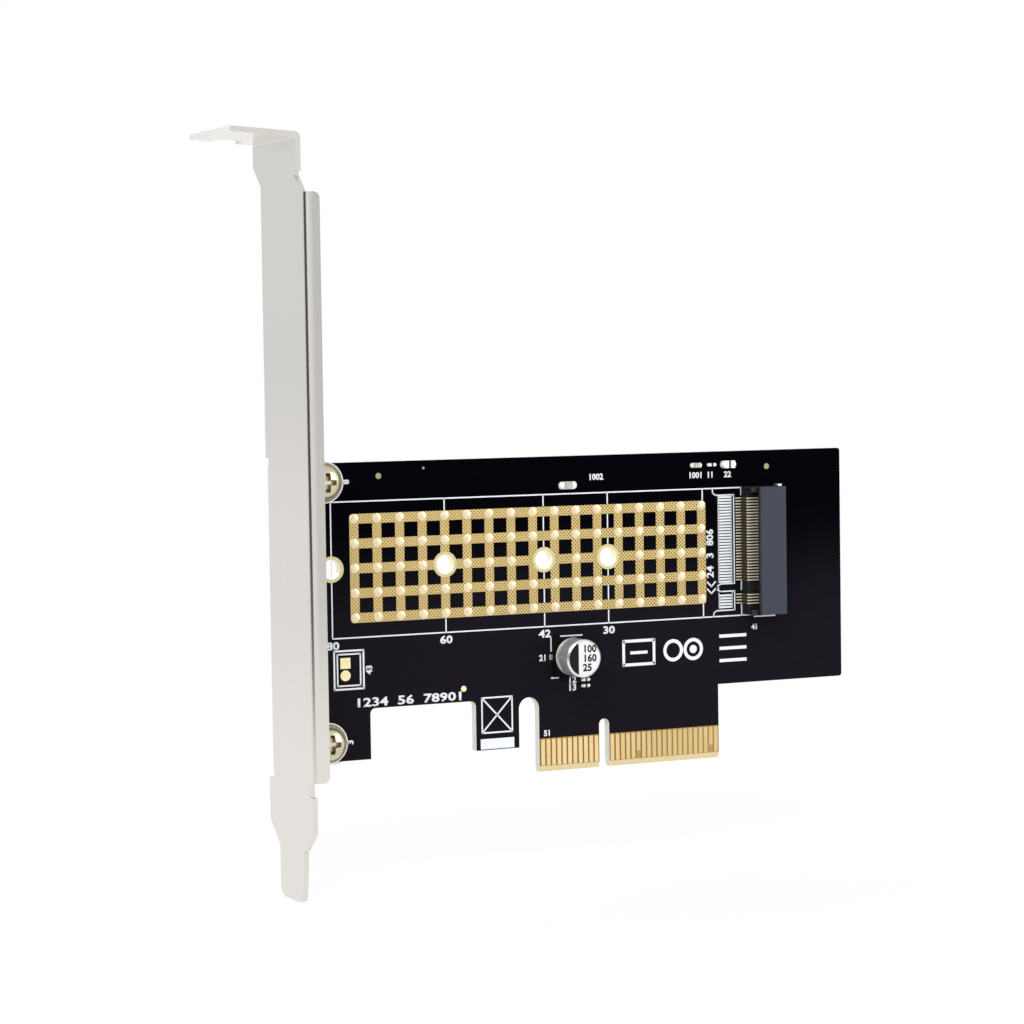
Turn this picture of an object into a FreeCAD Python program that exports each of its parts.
import FreeCAD, Part
import os
import re
import Sketcher

# Adapter card that carries one M.2 solid-state module in a four-lane expansion slot.
# Millimetres.  The origin is the middle of the board's thickness, on the centre line of the
# key notch in the card edge, at the lower edge of the contact tab.  +X runs from the
# mounting bracket to the free end, +Z runs up from the slot, and the components face -Y.

doc = FreeCAD.newDocument("nvme_adapter_card")
dim = doc.addObject("Spreadsheet::Sheet", "dim")
reader = doc.addObject("Spreadsheet::Sheet", "reader")

SIZES = {
    # printed circuit board
    "board_thickness": 1.6,
    "board_top": 52.45,
    "board_floor": 12.6,
    "key_to_free_end": 46.9,
    "bracket_gap": 0.45,
    "key_width": 1.9,
    "key_height": 8.15,
    "key_to_tab_left": 12.15,
    "key_to_tab_right": 22.1,
    "relief_width": 3.7,
    "leg_width": 7.85,
    "leg_floor": 4.35,
    "cutout_width": 18.8,
    "cutout_corner": 0.9,
    "board_corner": 0.5,
    "bevel_height": 0.95,
    "bevel_depth": 0.4,
    "foil": 0.05,
    # card-edge contacts
    "finger_pitch": 1.0,
    "finger_width": 0.7,
    "finger_top": 5.35,
    "finger_foot": 1.05,
    "short_finger_foot": 2.3,
    "key_to_finger": 1.5,
    # M.2 module positions: stand-off holes at these lengths from the module's datum
    "module_datum": 31.15,
    "module_axis": 35.35,
    "module_longest": 80,
    "module_long": 60,
    "module_short": 42,
    "module_shortest": 30,
    "standoff_bore": 1.6,
    "standoff_pad": 2.12,
    # gold heat-spreading lattice
    "lattice_pitch": 4,
    "lattice_bar": 1.6,
    "lattice_end_gap": 11.9,
    "lattice_rows": 5,
    "lattice_corner": 0.6,
    "pad_gap": 0.03,
    # two-pin header footprint
    "header_left": 46.73,
    "header_low": 18.15,
    "header_pitch": 2.0,
    "header_pad": 1.75,
    # mounting bracket, folded from one sheet
    "sheet": 0.86,
    "bend_radius": 0.15,
    "bracket_height": 120.02,
    "bracket_top": 104.01,
    "bracket_width": 18.42,
    "key_to_bracket": 58.77,
    "head_shift": 3.17,
    "head_far_floor": 99.6,
    "head_near_floor": 98.0,
    "head_step": 0.9,
    "wing_shift": 0.86,
    "wing_floor": -4.4,
    "wing_top": 1.1,
    "wing_relief": 1.2,
    "shoulder_drop": 3.6,
    "tongue_width": 10.19,
    "tongue_taper": 0.8,
    "tongue_corner": 1.8,
    "flange_reach": 2.6,
    "flange_floor": 3.46,
    "flange_top": 94.66,
    "flange_corner": 1.0,
    "bend_margin": 0.3,
    "strip_reach": 4.4,
    "strip_floor": 3.7,
    "strip_top": 52.2,
    "nick_height": 1.3,
    "ear_half": 3.5,
    "ear_corner": 1.5,
    "tab_depth": 11.43,
    "tab_rise": 3.5,
    "tab_notch_width": 4.42,
    "tab_notch_reach": 5.0,
    "tab_notch_centre": 5.1,
    # the two screws that join board and bracket
    "key_to_screw": 49.9,
    "upper_screw": 49.35,
    "lower_screw": 7.35,
    "screw_hole": 1.6,
    "thread_radius": 1.5,
    "thread_clearance": 0.04,
    "screw_length": 5.0,
    "screw_head_radius": 2.8,
    "screw_head_height": 2.1,
    "screw_head_round": 1.0,
    "recess_width": 0.7,
    "recess_span": 3.4,
    "recess_depth": 1.2,
    # M.2 socket
    "socket_width": 21.9,
    "socket_height": 4.2,
    "lip_setback": 4.1,
    "roof_setback": 2.75,
    "socket_rear": 2.4,
    "lip_height": 1.9,
    "slot_height": 1.45,
    "slot_margin": 0.825,
    "slot_end": 0.85,
    "cheek_height": 3.4,
    "key_position": 12.25,
    "slot_key_width": 1.0,
    "socket_edge": 0.25,
    "contact_pitch": 0.5,
    "contact_width": 0.26,
    "contact_metal": 0.12,
    "front_tail": 1.2,
    "rear_tail": 1.15,
    "rear_groove": 0.35,
    "groove_width": 0.34,
    "beam_height": 3.0,
    "peg_radius": 0.55,
    "peg_length": 1.2,
    "peg_inset": 1.35,
    "anchor_width": 0.9,
    "anchor_inset": 0.2,
    "anchor_reach": 1.5,
    "anchor_height": 1.4,
    "anchor_metal": 0.15,
    # electrolytic capacitor
    "can_x": -6.25,
    "can_z": 19.05,
    "can_radius": 3.15,
    "can_top": 5.4,
    "can_edge": 0.3,
    "can_groove": 0.22,
    "base_size": 6.6,
    "base_corner": 1.3,
    "base_top": 1.1,
    "lead_metal": 0.15,
    "lead_width": 0.9,
    "lead_reach": 3.9,
    "lead_inner": 1.0,
    # small surface-mount parts
    "led_1_x": 18.2,
    "led_2_x": -6.25,
    "led_2_z": 47.55,
    "resistor_1_x": 21.3,
    "ceramic_x": 24.45,
    "top_row_z": 50.2,
    "resistor_2_z": 14.95,
    "resistor_3_z": 13.95,
    "lower_pair_x": -3.4,
    "large_chip_length": 2.0,
    "large_chip_width": 1.25,
    "small_led_length": 1.6,
    "small_led_width": 0.8,
    "small_chip_length": 1.0,
    "small_chip_width": 0.5,
    "small_chip_height": 0.35,
    "ceramic_height": 0.85,
    "led_base_height": 0.4,
    "led_lens_height": 0.45,
    "led_lens_share": 0.62,
    "terminal": 0.3,
}

for row, (alias, number) in enumerate(SIZES.items(), start=1):
    dim.set(f"A{row}", alias)
    dim.set(f"B{row}", str(number))
    dim.setAlias(f"B{row}", alias)
doc.recompute()


# ---- helpers: expressions, sketches and features --------------------------------------------

def bound(expression):
    """The expression with every size name pointed at its cell in the sheet."""
    return re.sub(r"[a-z]\w*", lambda word: f"dim.{word[0]}" if word[0] in SIZES else word[0],
                  f"({expression}) * 1")


def value(expression):
    """The number that an expression gives for the sheet's present values."""
    reader.set("A1", f"={bound(expression)}")
    reader.recompute()
    return float(reader.get("A1"))


def new_body(label):
    """An empty body whose label names its file."""
    body = doc.addObject("PartDesign::Body", label)
    body.Label = label
    return body


def origin_feature(body, role):
    """One of the body's own planes or axes."""
    return [feature for feature in body.Origin.OriginFeatures if feature.Role == role][0]


def new_sketch(body, role, offset, shift_x="0"):
    """A sketch on one of the body's own planes, moved along that plane's normal."""
    sketch = body.newObject("Sketcher::SketchObject", "sketch")
    sketch.AttachmentSupport = [(origin_feature(body, role), "")]
    sketch.MapMode = "FlatFace"
    sketch.setExpression("AttachmentOffset.Base.z", bound(offset))
    sketch.setExpression("AttachmentOffset.Base.x", bound(shift_x))
    return sketch


def front_sketch(body, y):
    """A sketch seen from the component side: its x is X and its y is Z."""
    return new_sketch(body, "XZ_Plane", f"-({y})")


def hold(sketch, geometry, point, x, y):
    """Tie one point of a sketch element to its place."""
    for kind, expression in (("DistanceX", x), ("DistanceY", y)):
        index = sketch.addConstraint(
            Sketcher.Constraint(kind, -1, 1, geometry, point, value(expression)))
        sketch.setExpression(f"Constraints[{index}]", bound(expression))


def polygon(sketch, corners):
    """A closed outline of straight lines, each corner tied to its own two expressions."""
    first = sketch.GeometryCount
    points = [FreeCAD.Vector(value(x), value(y), 0) for x, y in corners]
    count = len(points)
    for i in range(count):
        sketch.addGeometry(Part.LineSegment(points[i], points[(i + 1) % count]), False)
    for i in range(count):
        following = first + (i + 1) % count
        sketch.addConstraint(Sketcher.Constraint("Coincident", first + i, 2, following, 1))
    for i, (x, y) in enumerate(corners):
        hold(sketch, first + i, 1, x, y)


def rectangle(sketch, left, low, right, high):
    """An upright rectangle."""
    polygon(sketch, [(left, low), (right, low), (right, high), (left, high)])


def circle(sketch, x, y, radius):
    """A circle tied to its centre and radius."""
    centre = FreeCAD.Vector(value(x), value(y), 0)
    index = sketch.addGeometry(Part.Circle(centre, FreeCAD.Vector(0, 0, 1), value(radius)), False)
    hold(sketch, index, 3, x, y)
    constraint = sketch.addConstraint(Sketcher.Constraint("Radius", index, value(radius)))
    sketch.setExpression(f"Constraints[{constraint}]", bound(radius))


def extrude(body, kind, sketch, length, symmetric=False, reverse=False):
    """A pad or a pocket of the sketch."""
    feature = body.newObject(f"PartDesign::{kind}", kind.lower())
    feature.Profile = sketch
    feature.setExpression("Length", bound(length))
    feature.SideType = "Symmetric" if symmetric else "One side"
    feature.Reversed = reverse
    return feature


def pad(body, sketch, length, symmetric=False, reverse=False):
    return extrude(body, "Pad", sketch, length, symmetric, reverse)


def pocket(body, sketch, length, symmetric=False, reverse=False):
    return extrude(body, "Pocket", sketch, length, symmetric, reverse)


def repeat(body, feature, axis, count, step, reverse=False):
    """Copies of one feature in a row."""
    row = body.newObject("PartDesign::LinearPattern", "pattern")
    row.Originals = [feature]
    row.Direction = (origin_feature(body, axis), [""])
    row.Reversed = reverse
    row.Mode = "Spacing"
    row.setExpression("Offset", bound(step))
    row.setExpression("Occurrences", bound(count))
    body.Tip = row
    return row


def edges_at(feature, axis, **places):
    """Names of the straight edges along an axis that lie at the given places."""
    names = []
    for number, edge in enumerate(feature.Shape.Edges, start=1):
        if edge.Curve.TypeId != "Part::GeomLine":
            continue
        direction = edge.tangentAt(edge.FirstParameter)
        middle = edge.CenterOfMass
        along = abs(getattr(direction, axis)) > 0.999
        if along and all(abs(getattr(middle, key) - place) < 0.02 for key, place in places.items()):
            names.append(f"Edge{number}")
    return names


def round_edges(body, feature, names, radius):
    """A fillet on the named edges of a feature."""
    fillet = body.newObject("PartDesign::Fillet", "fillet")
    fillet.Base = (feature, names)
    fillet.setExpression("Radius", bound(radius))
    doc.recompute()
    return fillet


# ---- places that several pieces share ---------------------------------------------------------

FRONT = "(-board_thickness / 2)"
BACK = "(board_thickness / 2)"
PLATE_OUTER = "(-key_to_bracket)"
PLATE_INNER = "(-key_to_bracket + sheet)"
BRACKET_FAR = "(board_thickness / 2 + sheet)"
BRACKET_NEAR = f"({BRACKET_FAR} - bracket_width)"
MODULE_LENGTHS = ("module_longest", "module_long", "module_short", "module_shortest")
STANDOFFS = [f"(module_datum - {length})" for length in MODULE_LENGTHS]
LATTICE_LEFT = "(module_datum - module_longest + lattice_pitch)"
LATTICE_SPAN = "floor((module_longest - lattice_pitch - lattice_end_gap) / lattice_pitch)"
LATTICE_HIGH = "(module_axis + (lattice_rows - 1) / 2 * lattice_pitch)"
LATTICE_LOW = "(module_axis - (lattice_rows - 1) / 2 * lattice_pitch)"
SCREWS = ("upper_screw", "lower_screw")
PEGS = ("(module_axis + socket_width / 2 - peg_inset)",
        "(module_axis - socket_width / 2 + peg_inset)")
ROOF_FRONT = "(module_datum - roof_setback)"
LIP_FRONT = "(module_datum - lip_setback)"
SOCKET_REAR = "(module_datum + socket_rear)"


def above(height):
    """Y of a level that lies this far in front of the board's component side."""
    return f"({FRONT} - ({height}))"


# ---- printed circuit board --------------------------------------------------------------------

def make_board():
    """Bare board: one plate with its legs, contact tab, key notch, bevels and holes."""
    body = new_body("pcb")
    left = f"({PLATE_INNER} + bracket_gap)"
    tab_left = "(-key_to_tab_left)"
    leg_right = f"({tab_left} - relief_width)"
    leg_left = f"({leg_right} - leg_width)"
    foot_right = f"({leg_left} - cutout_width)"
    relief_shoulder = "(board_floor - relief_width / 2)"
    through = "board_thickness + 1"

    outline = front_sketch(body, "0")
    polygon(outline, [
        (left, "leg_floor"), (foot_right, "leg_floor"), (foot_right, "board_floor"),
        (leg_left, "board_floor"), (leg_left, "leg_floor"), (leg_right, "leg_floor"),
        (leg_right, relief_shoulder), (tab_left, relief_shoulder), (tab_left, "0"),
        ("key_to_tab_right", "0"), ("key_to_tab_right", "board_floor"),
        ("key_to_free_end", "board_floor"), ("key_to_free_end", "board_top"),
        (left, "board_top")])
    plate = pad(body, outline, "board_thickness", symmetric=True)
    doc.recompute()
    corners = []
    for x in (foot_right, leg_left):
        corners += edges_at(plate, "y", x=value(x), z=value("board_floor"))
    rounded = round_edges(body, plate, corners, "cutout_corner")
    corners = edges_at(rounded, "y", x=value("key_to_free_end"), z=value("board_top"))
    corners += edges_at(rounded, "y", x=value("key_to_free_end"), z=value("board_floor"))
    corners += edges_at(rounded, "y", x=value(left), z=value("board_top"))
    round_edges(body, rounded, corners, "board_corner")

    key = front_sketch(body, "0")
    rectangle(key, "-key_width / 2", "-1", "key_width / 2", "key_height - key_width / 2")
    pocket(body, key, through, symmetric=True)
    rounds = front_sketch(body, "0")
    circle(rounds, "0", "key_height - key_width / 2", "key_width / 2")
    circle(rounds, f"{tab_left} - relief_width / 2", relief_shoulder, "relief_width / 2")
    pocket(body, rounds, through, symmetric=True)

    for side in ("1", "-1"):
        bevel = new_sketch(body, "YZ_Plane", "key_to_tab_right + 1")
        polygon(bevel, [(f"{side} * {BACK}", "bevel_height"), (f"{side} * {BACK}", "-1"),
                        (f"{side} * ({BACK} - bevel_depth)", "-1"),
                        (f"{side} * ({BACK} - bevel_depth)", "0")])
        pocket(body, bevel, "key_to_tab_left + key_to_tab_right + 2")

    holes = front_sketch(body, "0")
    for x in STANDOFFS:
        circle(holes, x, "module_axis", "standoff_bore")
    for z in SCREWS:
        circle(holes, "-key_to_screw", z, "screw_hole")
    for z in PEGS:
        circle(holes, "module_datum", z, "peg_radius + pad_gap")
    pocket(body, holes, through, symmetric=True)
    return body


# ---- gold areas on the board ------------------------------------------------------------------

def make_lattice():
    """Square lattice of bare gold-plated copper that spreads the module's heat."""
    body = new_body("front_heat_lattice")
    half = "lattice_bar / 2"
    right = f"({LATTICE_LEFT} + {LATTICE_SPAN} * lattice_pitch)"
    window = "lattice_pitch - lattice_bar / 2"
    face = above("foil")
    sheet = front_sketch(body, FRONT)
    rectangle(sheet, f"{LATTICE_LEFT} - {half}", f"{LATTICE_LOW} - {half}",
              f"{right} + {half}", f"{LATTICE_HIGH} + {half}")
    plate = pad(body, sheet, "foil")
    doc.recompute()
    corners = []
    for x in (f"{LATTICE_LEFT} - {half}", f"{right} + {half}"):
        for z in (f"{LATTICE_LOW} - {half}", f"{LATTICE_HIGH} + {half}"):
            corners += edges_at(plate, "y", x=value(x), z=value(z))
    round_edges(body, plate, corners, "lattice_corner")

    windows = front_sketch(body, face)
    for row in range(SIZES["lattice_rows"] - 1):
        low = f"{LATTICE_LOW} + {row} * lattice_pitch"
        rectangle(windows, f"{LATTICE_LEFT} + {half}", f"{low} + {half}",
                  f"{LATTICE_LEFT} + {window}", f"{low} + {window}")
    repeat(body, pocket(body, windows, "foil"), "X_Axis", LATTICE_SPAN, "lattice_pitch")
    clear = front_sketch(body, face)
    for x in STANDOFFS[1:]:
        circle(clear, x, "module_axis", "standoff_pad + pad_gap")
    pocket(body, clear, "foil")
    return body


def make_back_lattice(front):
    """The same lattice on the solder side, which the vias join to the front one."""
    mirror = doc.addObject("Part::Mirroring", "back_heat_lattice")
    mirror.Label = "back_heat_lattice"
    mirror.Source = front
    mirror.Normal = FreeCAD.Vector(0, 1, 0)
    return mirror


def make_fingers(label, plane, runs):
    """Card-edge contacts on one side; a run is first place, how many, and foot height."""
    body = new_body(label)
    for first, count, foot in runs:
        sketch = front_sketch(body, plane)
        middle = f"({first}) * finger_pitch"
        start = f"key_to_finger + {middle}"
        if first < 0:
            start = f"-key_to_finger + {middle} + finger_pitch"
        rectangle(sketch, f"{start} - finger_width / 2", foot,
                  f"{start} + finger_width / 2", "finger_top")
        finger = pad(body, sketch, "foil")
        if count > 1:
            repeat(body, finger, "X_Axis", str(count), "finger_pitch")
    return body


def make_eyelets():
    """Gold-plated annular pads round the stand-off holes, one on each side of the board."""
    body = new_body("standoff_eyelets")
    for plane in (FRONT, f"{BACK} + foil"):
        sketch = front_sketch(body, plane)
        for x in STANDOFFS:
            circle(sketch, x, "module_axis", "standoff_pad")
            circle(sketch, x, "module_axis", "standoff_bore")
        pad(body, sketch, "foil")
    return body


def make_header():
    """Pads of the two-pin header footprint, a square one over a round one, filled with gold."""
    body = new_body("header_eyelets")
    high = "header_low + header_pitch"
    for plane in (FRONT, f"{BACK} + foil"):
        sketch = front_sketch(body, plane)
        rectangle(sketch, "-header_left - header_pad / 2", f"{high} - header_pad / 2",
                  "-header_left + header_pad / 2", f"{high} + header_pad / 2")
        circle(sketch, "-header_left", "header_low", "header_pad / 2")
        pad(body, sketch, "foil")
    return body


# ---- mounting bracket -------------------------------------------------------------------------

def make_bracket():
    """One folded sheet: plate, screw tab, stiffening flange, and back strip with two ears."""
    body = new_body("bracket")
    head_near = f"({BRACKET_NEAR} + head_shift)"
    head_far = f"({BRACKET_FAR} + head_shift)"
    wing_near = f"({BRACKET_NEAR} + wing_shift)"
    wing_far = f"({BRACKET_FAR} + wing_shift)"
    tongue_near = f"(({wing_near} + {wing_far} - tongue_width) / 2)"
    tongue_far = f"({tongue_near} + tongue_width)"
    tip = "(bracket_top - bracket_height)"
    outer_bend = "(bend_radius + sheet)"
    near_bend_end = f"({BRACKET_NEAR} + {outer_bend} + bend_margin)"
    far_bend_end = f"({BRACKET_FAR} - {outer_bend} - bend_margin / 2)"
    head_relief = f"({head_near} + head_step)"

    outline = new_sketch(body, "YZ_Plane", PLATE_OUTER)
    polygon(outline, [
        (f"{tongue_near} + tongue_taper", tip), (tongue_near, "wing_floor - shoulder_drop"),
        (wing_near, "wing_floor"), (wing_near, "wing_top"),
        (f"{wing_near} + wing_relief", "wing_top"), (f"{wing_near} + wing_relief", "flange_floor"),
        (BRACKET_NEAR, "flange_floor"), (BRACKET_NEAR, "flange_top"),
        (near_bend_end, "flange_top"),
        (head_relief, f"flange_top + {head_relief} - {near_bend_end}"),
        (head_relief, "head_near_floor"), (head_near, "head_near_floor"),
        (head_near, "bracket_top"), (head_far, "bracket_top"),
        (head_far, "head_far_floor"), (BRACKET_FAR, "head_far_floor - head_shift"),
        (BRACKET_FAR, "strip_top + nick_height"), (far_bend_end, "strip_top + nick_height"),
        (far_bend_end, "strip_top"), (BRACKET_FAR, "strip_top"),
        (BRACKET_FAR, "strip_floor"), (far_bend_end, "strip_floor"),
        (far_bend_end, "strip_floor - nick_height"), (wing_far, "strip_floor - nick_height"),
        (wing_far, "wing_floor"), (tongue_far, "wing_floor - shoulder_drop"),
        (tongue_far, tip)])
    pad(body, outline, "sheet")

    flange = front_sketch(body, f"{BRACKET_NEAR} + sheet")
    rectangle(flange, PLATE_OUTER, "flange_floor", f"{PLATE_OUTER} + flange_reach", "flange_top")
    pad(body, flange, "sheet")

    ear_right = "(-key_to_screw + ear_half)"
    strip_right = f"({PLATE_OUTER} + strip_reach)"
    strip = front_sketch(body, BRACKET_FAR)
    polygon(strip, [
        (PLATE_OUTER, "strip_floor"), (ear_right, "strip_floor"),
        (ear_right, "lower_screw + ear_half"), (strip_right, "lower_screw + ear_half"),
        (strip_right, "upper_screw - ear_half"), (ear_right, "upper_screw - ear_half"),
        (ear_right, "strip_top"), (PLATE_OUTER, "strip_top")])
    for z in SCREWS:
        circle(strip, "-key_to_screw", z, "thread_radius")
    pad(body, strip, "sheet")

    end_x = f"({PLATE_INNER} - tab_depth * cos(tab_rise * 1 deg))"
    end_z = "(bracket_top + tab_depth * sin(tab_rise * 1 deg))"
    tab = front_sketch(body, head_far)
    polygon(tab, [
        (PLATE_INNER, "bracket_top"), (end_x, end_z),
        (f"{end_x} - sheet * sin(tab_rise * 1 deg)", f"{end_z} - sheet * cos(tab_rise * 1 deg)"),
        (PLATE_INNER, "bracket_top - sheet / cos(tab_rise * 1 deg)")])
    folded = pad(body, tab, "bracket_width")
    doc.recompute()

    under_z = value("bracket_top - sheet / cos(tab_rise * 1 deg) + sheet * tan(tab_rise * 1 deg)")
    outer_x, inner_x = value(PLATE_OUTER), value(PLATE_INNER)
    outside = edges_at(folded, "z", x=outer_x, y=value(BRACKET_NEAR))
    outside += edges_at(folded, "z", x=outer_x, y=value(BRACKET_FAR),
                        z=value("(strip_floor + strip_top) / 2"))
    outside += edges_at(folded, "y", x=inner_x, z=value("bracket_top"))
    bent = round_edges(body, folded, outside, outer_bend)
    inside = edges_at(bent, "z", x=inner_x, y=value(f"{BRACKET_NEAR} + sheet"))
    inside += edges_at(bent, "z", x=inner_x, y=value(BACK))
    inside += edges_at(bent, "y", x=outer_x, z=under_z)
    bent = round_edges(body, bent, inside, "bend_radius")
    ends = [name for y in (f"{tongue_near} + tongue_taper", tongue_far)
            for name in edges_at(bent, "x", y=value(y), z=value(tip))]
    bent = round_edges(body, bent, ends, "tongue_corner")
    free = [name for z in ("flange_floor", "flange_top")
            for name in edges_at(bent, "y", x=value(f"{PLATE_OUTER} + flange_reach"), z=value(z))]
    bent = round_edges(body, bent, free, "flange_corner")
    ears = [name for z in ("strip_floor", "strip_top",
                           "lower_screw + ear_half", "upper_screw - ear_half")
            for name in edges_at(bent, "y", x=value(ear_right), z=value(z))]
    round_edges(body, bent, ears, "ear_corner")

    radius = "tab_notch_width / 2"
    notch_x = f"({PLATE_OUTER} - tab_notch_centre)"
    notch_y = f"({head_far} - tab_notch_reach + {radius})"
    notch = new_sketch(body, "XY_Plane", "bracket_top + 3")
    rectangle(notch, f"{notch_x} - {radius}", notch_y, f"{notch_x} + {radius}", f"{head_far} + 1")
    pocket(body, notch, "6")
    notch_end = new_sketch(body, "XY_Plane", "bracket_top + 3")
    circle(notch_end, notch_x, notch_y, radius)
    pocket(body, notch_end, "6")
    return body


def make_screw(label, z):
    """Pan-head machine screw through the board into a tapped ear, turned by a cross recess."""
    body = new_body(label)
    shank = "(thread_radius - thread_clearance)"
    profile = new_sketch(body, "XY_Plane", z, "-key_to_screw")
    polygon(profile, [
        ("0", above("screw_head_height")),
        ("screw_head_radius - screw_head_round", above("screw_head_height")),
        ("screw_head_radius - 0.29 * screw_head_round",
         above("screw_head_height - 0.29 * screw_head_round")),
        ("screw_head_radius", above("screw_head_height - screw_head_round")),
        ("screw_head_radius", FRONT), (shank, FRONT), (shank, f"{FRONT} + screw_length"),
        ("0", f"{FRONT} + screw_length")])
    turned = body.newObject("PartDesign::Revolution", "revolution")
    turned.Profile = profile
    turned.ReferenceAxis = (profile, ["V_Axis"])
    turned.Angle = 360
    for wide, tall in (("recess_span", "recess_width"), ("recess_width", "recess_span")):
        slot = front_sketch(body, above("screw_head_height"))
        rectangle(slot, f"-key_to_screw - {wide} / 2", f"{z} - {tall} / 2",
                  f"-key_to_screw + {wide} / 2", f"{z} + {tall} / 2")
        pocket(body, slot, "recess_depth")
    return body


# ---- M.2 socket -------------------------------------------------------------------------------

# contact rows: first place in contact pitches above the slot's middle, and how many
LOWER_RUNS = ((18, 29), (-15, 4))
UPPER_RUNS = ((18.5, 29), (-14.5, 5))
SLOT_HALF = f"({UPPER_RUNS[0][0]} * contact_pitch + slot_margin)"


def make_socket_housing():
    """Moulded housing: lip, cheeks and roof round the card slot, its key rib and its pegs."""
    body = new_body("socket_housing")
    low_end = "(module_axis - socket_width / 2)"
    profile = new_sketch(body, "XY_Plane", low_end)
    polygon(profile, [
        (LIP_FRONT, FRONT), (SOCKET_REAR, FRONT), (SOCKET_REAR, above("socket_height")),
        (ROOF_FRONT, above("socket_height")), (ROOF_FRONT, above("cheek_height")),
        (LIP_FRONT, above("cheek_height"))])
    block = pad(body, profile, "socket_width")
    doc.recompute()
    edges = edges_at(block, "z", x=value(SOCKET_REAR), y=value(above("socket_height")))
    edges += edges_at(block, "z", x=value(ROOF_FRONT), y=value(above("socket_height")))
    round_edges(body, block, edges, "socket_edge")

    slot = new_sketch(body, "YZ_Plane", "module_datum + slot_end")
    roof_underside = above("lip_height + slot_height")
    rib_high = "module_axis - key_position * contact_pitch + slot_key_width / 2"
    rib_low = "module_axis - key_position * contact_pitch - slot_key_width / 2"
    rectangle(slot, roof_underside, rib_high, above("lip_height"), f"module_axis + {SLOT_HALF}")
    rectangle(slot, roof_underside, f"module_axis - {SLOT_HALF}", above("lip_height"), rib_low)
    pocket(body, slot, "slot_end + lip_setback + 1")
    mouth = new_sketch(body, "YZ_Plane", ROOF_FRONT)
    rectangle(mouth, above("cheek_height + 1"), f"module_axis - {SLOT_HALF}",
              above("lip_height"), f"module_axis + {SLOT_HALF}")
    pocket(body, mouth, "lip_setback - roof_setback + 1")

    groove_x = f"({SOCKET_REAR} - rear_groove)"
    for first, count in UPPER_RUNS:
        groove = new_sketch(body, "XY_Plane", f"module_axis + {first} * contact_pitch")
        polygon(groove, [
            (f"{SOCKET_REAR} + 1", above("-1")), (groove_x, above("-1")),
            (groove_x, above("beam_height - pad_gap")),
            ("module_datum + slot_end - 0.2", above("beam_height - pad_gap")),
            ("module_datum + slot_end - 0.2", above("beam_height + contact_metal + pad_gap")),
            (f"{SOCKET_REAR} + 1", above("beam_height + contact_metal + pad_gap"))])
        cut = pocket(body, groove, "groove_width", symmetric=True)
        repeat(body, cut, "Z_Axis", str(count), "contact_pitch", reverse=True)
    pegs = front_sketch(body, FRONT)
    for z in PEGS:
        circle(pegs, "module_datum", z, "peg_radius")
    body.Tip = pad(body, pegs, "peg_length", reverse=True)
    return body


def make_contacts(label, runs, corners):
    """A row of stamped spring contacts, one bent strip repeated along the socket."""
    body = new_body(label)
    for first, count in runs:
        strip = new_sketch(body, "XY_Plane", f"module_axis + {first} * contact_pitch")
        polygon(strip, [(x, above(height)) for x, height in corners])
        contact = pad(body, strip, "contact_width", symmetric=True)
        repeat(body, contact, "Z_Axis", str(count), "contact_pitch", reverse=True)
    return body


def make_lower_contacts():
    """Lower row: solder tails in front of the lip, springs over it into the slot."""
    bed = "lip_height"
    metal = "contact_metal"
    return make_contacts("socket_lower_contacts", LOWER_RUNS, [
        (f"{LIP_FRONT} - front_tail", "0"), (LIP_FRONT, "0"), (LIP_FRONT, bed),
        (f"{ROOF_FRONT} + 0.6", bed), (f"{ROOF_FRONT} + 1.5", f"{bed} + 0.45"),
        (f"{ROOF_FRONT} + 1.5", f"{bed} + 0.45 + {metal}"),
        (f"{ROOF_FRONT} + 0.55", f"{bed} + {metal}"), (f"{LIP_FRONT} - {metal}", f"{bed} + {metal}"),
        (f"{LIP_FRONT} - {metal}", metal), (f"{LIP_FRONT} - front_tail", metal)])


def make_upper_contacts():
    """Upper row: tails behind the housing, legs in its rear grooves, springs under the roof."""
    leg = f"({SOCKET_REAR} - rear_groove)"
    tip = f"({ROOF_FRONT} + 0.4)"
    metal = "contact_metal"
    return make_contacts("socket_upper_contacts", UPPER_RUNS, [
        (f"{SOCKET_REAR} + rear_tail", "0"), (leg, "0"), (leg, "beam_height"),
        (f"{tip} + 0.9", "beam_height"), (tip, "beam_height - 0.35"),
        (tip, f"beam_height - 0.35 + {metal}"),
        (f"{tip} + 0.85", f"beam_height + {metal}"), (f"{leg} + {metal}", f"beam_height + {metal}"),
        (f"{leg} + {metal}", metal), (f"{SOCKET_REAR} + rear_tail", metal)])


def make_anchors():
    """Solder anchors at the housing's two rear corners, each a bent metal strip."""
    body = new_body("socket_anchor_tabs")
    profile = new_sketch(body, "XY_Plane", "module_axis - (socket_width / 2 - anchor_inset)")
    polygon(profile, [
        (SOCKET_REAR, FRONT), (f"{SOCKET_REAR} + anchor_reach", FRONT),
        (f"{SOCKET_REAR} + anchor_reach", above("anchor_metal")),
        (f"{SOCKET_REAR} + anchor_metal", above("anchor_metal")),
        (f"{SOCKET_REAR} + anchor_metal", above("anchor_height")),
        (SOCKET_REAR, above("anchor_height"))])
    tab = pad(body, profile, "anchor_width", symmetric=True)
    repeat(body, tab, "Z_Axis", "2", "2 * (socket_width / 2 - anchor_inset)")
    return body


# ---- electrolytic capacitor -------------------------------------------------------------------

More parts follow.
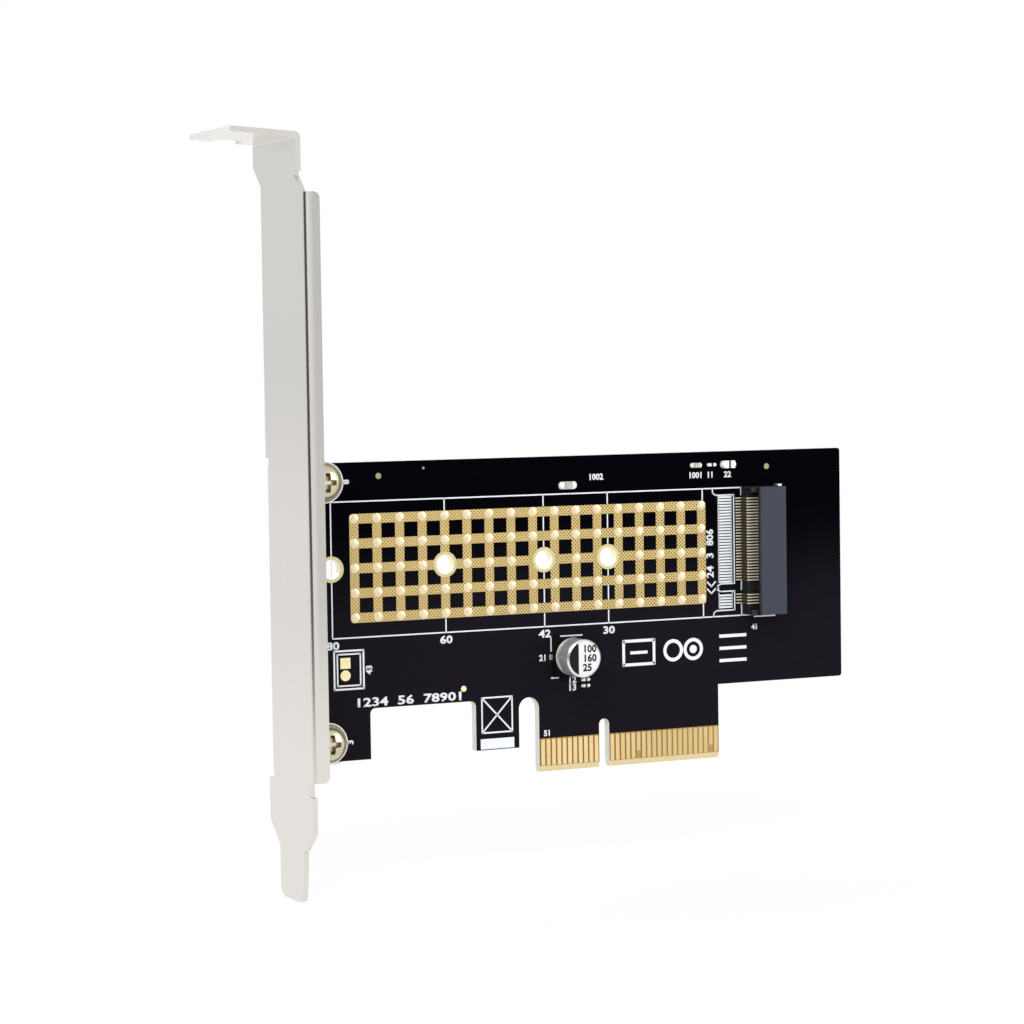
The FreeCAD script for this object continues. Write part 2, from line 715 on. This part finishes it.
def make_capacitor_can():
    """Drawn aluminium can with a rolled sealing groove near its foot."""
    body = new_body("capacitor_can")
    groove = "base_top + 0.7"
    profile = new_sketch(body, "XY_Plane", "can_z", "can_x")
    polygon(profile, [
        ("0", above("can_top")), ("can_radius - can_edge", above("can_top")),
        ("can_radius", above("can_top - can_edge")), ("can_radius", above(f"{groove} + 0.4")),
        ("can_radius - can_groove", above(groove)), ("can_radius", above(f"{groove} - 0.4")),
        ("can_radius", above("base_top")), ("0", above("base_top"))])
    turned = body.newObject("PartDesign::Revolution", "revolution")
    turned.Profile = profile
    turned.ReferenceAxis = (profile, ["V_Axis"])
    turned.Angle = 360
    return body


def make_capacitor_base():
    """Moulded seat plate; two cut corners mark the positive side."""
    body = new_body("capacitor_base")
    half = "base_size / 2"
    left, right = f"can_x - {half}", f"can_x + {half}"
    low, high = f"can_z - {half}", f"can_z + {half}"
    outline = front_sketch(body, above("lead_metal"))
    polygon(outline, [
        (left, low), (f"{right} - base_corner", low), (right, f"{low} + base_corner"),
        (right, f"{high} - base_corner"), (f"{right} - base_corner", high), (left, high)])
    pad(body, outline, "base_top - lead_metal")
    return body


def make_capacitor_leads():
    """Two flat leads that run out from under the seat plate to the board."""
    body = new_body("capacitor_leads")
    sketch = front_sketch(body, FRONT)
    low, high = "can_z - lead_width / 2", "can_z + lead_width / 2"
    rectangle(sketch, "can_x - lead_reach", low, "can_x - lead_inner", high)
    rectangle(sketch, "can_x + lead_inner", low, "can_x + lead_reach", high)
    pad(body, sketch, "lead_metal")
    return body


# ---- chips and lamps --------------------------------------------------------------------------

def make_block(label, x, z, length, width, height, taper=None, base="0"):
    """A moulded or fired block on the board, or on a level above it."""
    body = new_body(label)
    sketch = front_sketch(body, above(base))
    rectangle(sketch, f"{x} - {length} / 2", f"{z} - {width} / 2",
              f"{x} + {length} / 2", f"{z} + {width} / 2")
    block = pad(body, sketch, height)
    if taper:
        block.TaperAngle = -taper
    return body


def make_terminals(label, x, z, length, width, height):
    """The two soldered end caps of a chip."""
    body = new_body(label)
    sketch = front_sketch(body, FRONT)
    for side in ("1", "-1"):
        end = f"{x} + {side} * {length} / 2"
        rectangle(sketch, f"{end} - {side} * terminal", f"{z} - {width} / 2",
                  end, f"{z} + {width} / 2")
    pad(body, sketch, height)
    return body


def make_chip(name, x, z, length, width, height):
    """A two-terminal chip: its body between its two end caps."""
    inner = f"({length} - 2 * terminal)"
    return [make_block(f"{name}_body", x, z, inner, width, height),
            make_terminals(f"{name}_terminals", x, z, length, width, height)]


def make_led(name, x, z, length, width):
    """A chip lamp: a small carrier with end caps and a clear lens on top."""
    lens = make_block(f"{name}_lens", x, z, f"({length} * led_lens_share)", f"({width} * 0.9)",
                      "led_lens_height", taper=8, base="led_base_height")
    return make_chip(name, x, z, length, width, "led_base_height") + [lens]


# ---- build every sub-part and write its file --------------------------------------------------

lattice = make_lattice()
parts = [
    make_board(),
    make_bracket(),
    lattice,
    make_back_lattice(lattice),
    # component side: contacts 17 and 31 are the short presence-detect ones
    make_fingers("edge_contacts_front", FRONT, [
        (-11, 11, "finger_foot"), (0, 5, "finger_foot"), (5, 1, "short_finger_foot"),
        (6, 13, "finger_foot"), (19, 1, "short_finger_foot"), (20, 1, "finger_foot")]),
    # solder side: only the first contact is short
    make_fingers("edge_contacts_back", f"{BACK} + foil", [
        (-11, 1, "short_finger_foot"), (-10, 10, "finger_foot"), (0, 21, "finger_foot")]),
    make_eyelets(),
    make_header(),
    make_screw("screw_upper", "upper_screw"),
    make_screw("screw_lower", "lower_screw"),
    make_socket_housing(),
    make_lower_contacts(),
    make_upper_contacts(),
    make_anchors(),
    make_capacitor_can(),
    make_capacitor_base(),
    make_capacitor_leads(),
]
parts += make_led("led_1", "led_1_x", "top_row_z", "small_led_length", "small_led_width")
parts += make_led("led_2", "led_2_x", "led_2_z", "large_chip_length", "large_chip_width")
small = ("small_chip_length", "small_chip_width", "small_chip_height")
parts += make_chip("resistor_1", "resistor_1_x", "top_row_z", *small)
parts += make_chip("resistor_2", "lower_pair_x", "resistor_2_z", *small)
parts += make_chip("resistor_3", "lower_pair_x", "resistor_3_z", *small)
parts += make_chip("ceramic_capacitor", "ceramic_x", "top_row_z",
                   "large_chip_length", "large_chip_width", "ceramic_height")

doc.recompute()
for item in doc.Objects:
    if "Invalid" in item.State or "Error" in item.State:
        raise RuntimeError(f"{item.Label} failed: {item.State}")

os.makedirs("parts", exist_ok=True)
for part in parts:
    if part.Shape.isNull() or not part.Shape.isValid() or not part.Shape.Solids:
        raise RuntimeError(f"{part.Label} has no valid shape")
    part.Shape.exportStep(f"parts/{part.Label}.step")
    box = part.Shape.BoundBox
    print(f"{part.Label:26s} solids {len(part.Shape.Solids):3d}  volume {part.Shape.Volume:10.3f}  "
          f"x {box.XMin:7.2f} {box.XMax:7.2f}  y {box.YMin:6.2f} {box.YMax:6.2f}  "
          f"z {box.ZMin:7.2f} {box.ZMax:7.2f}")
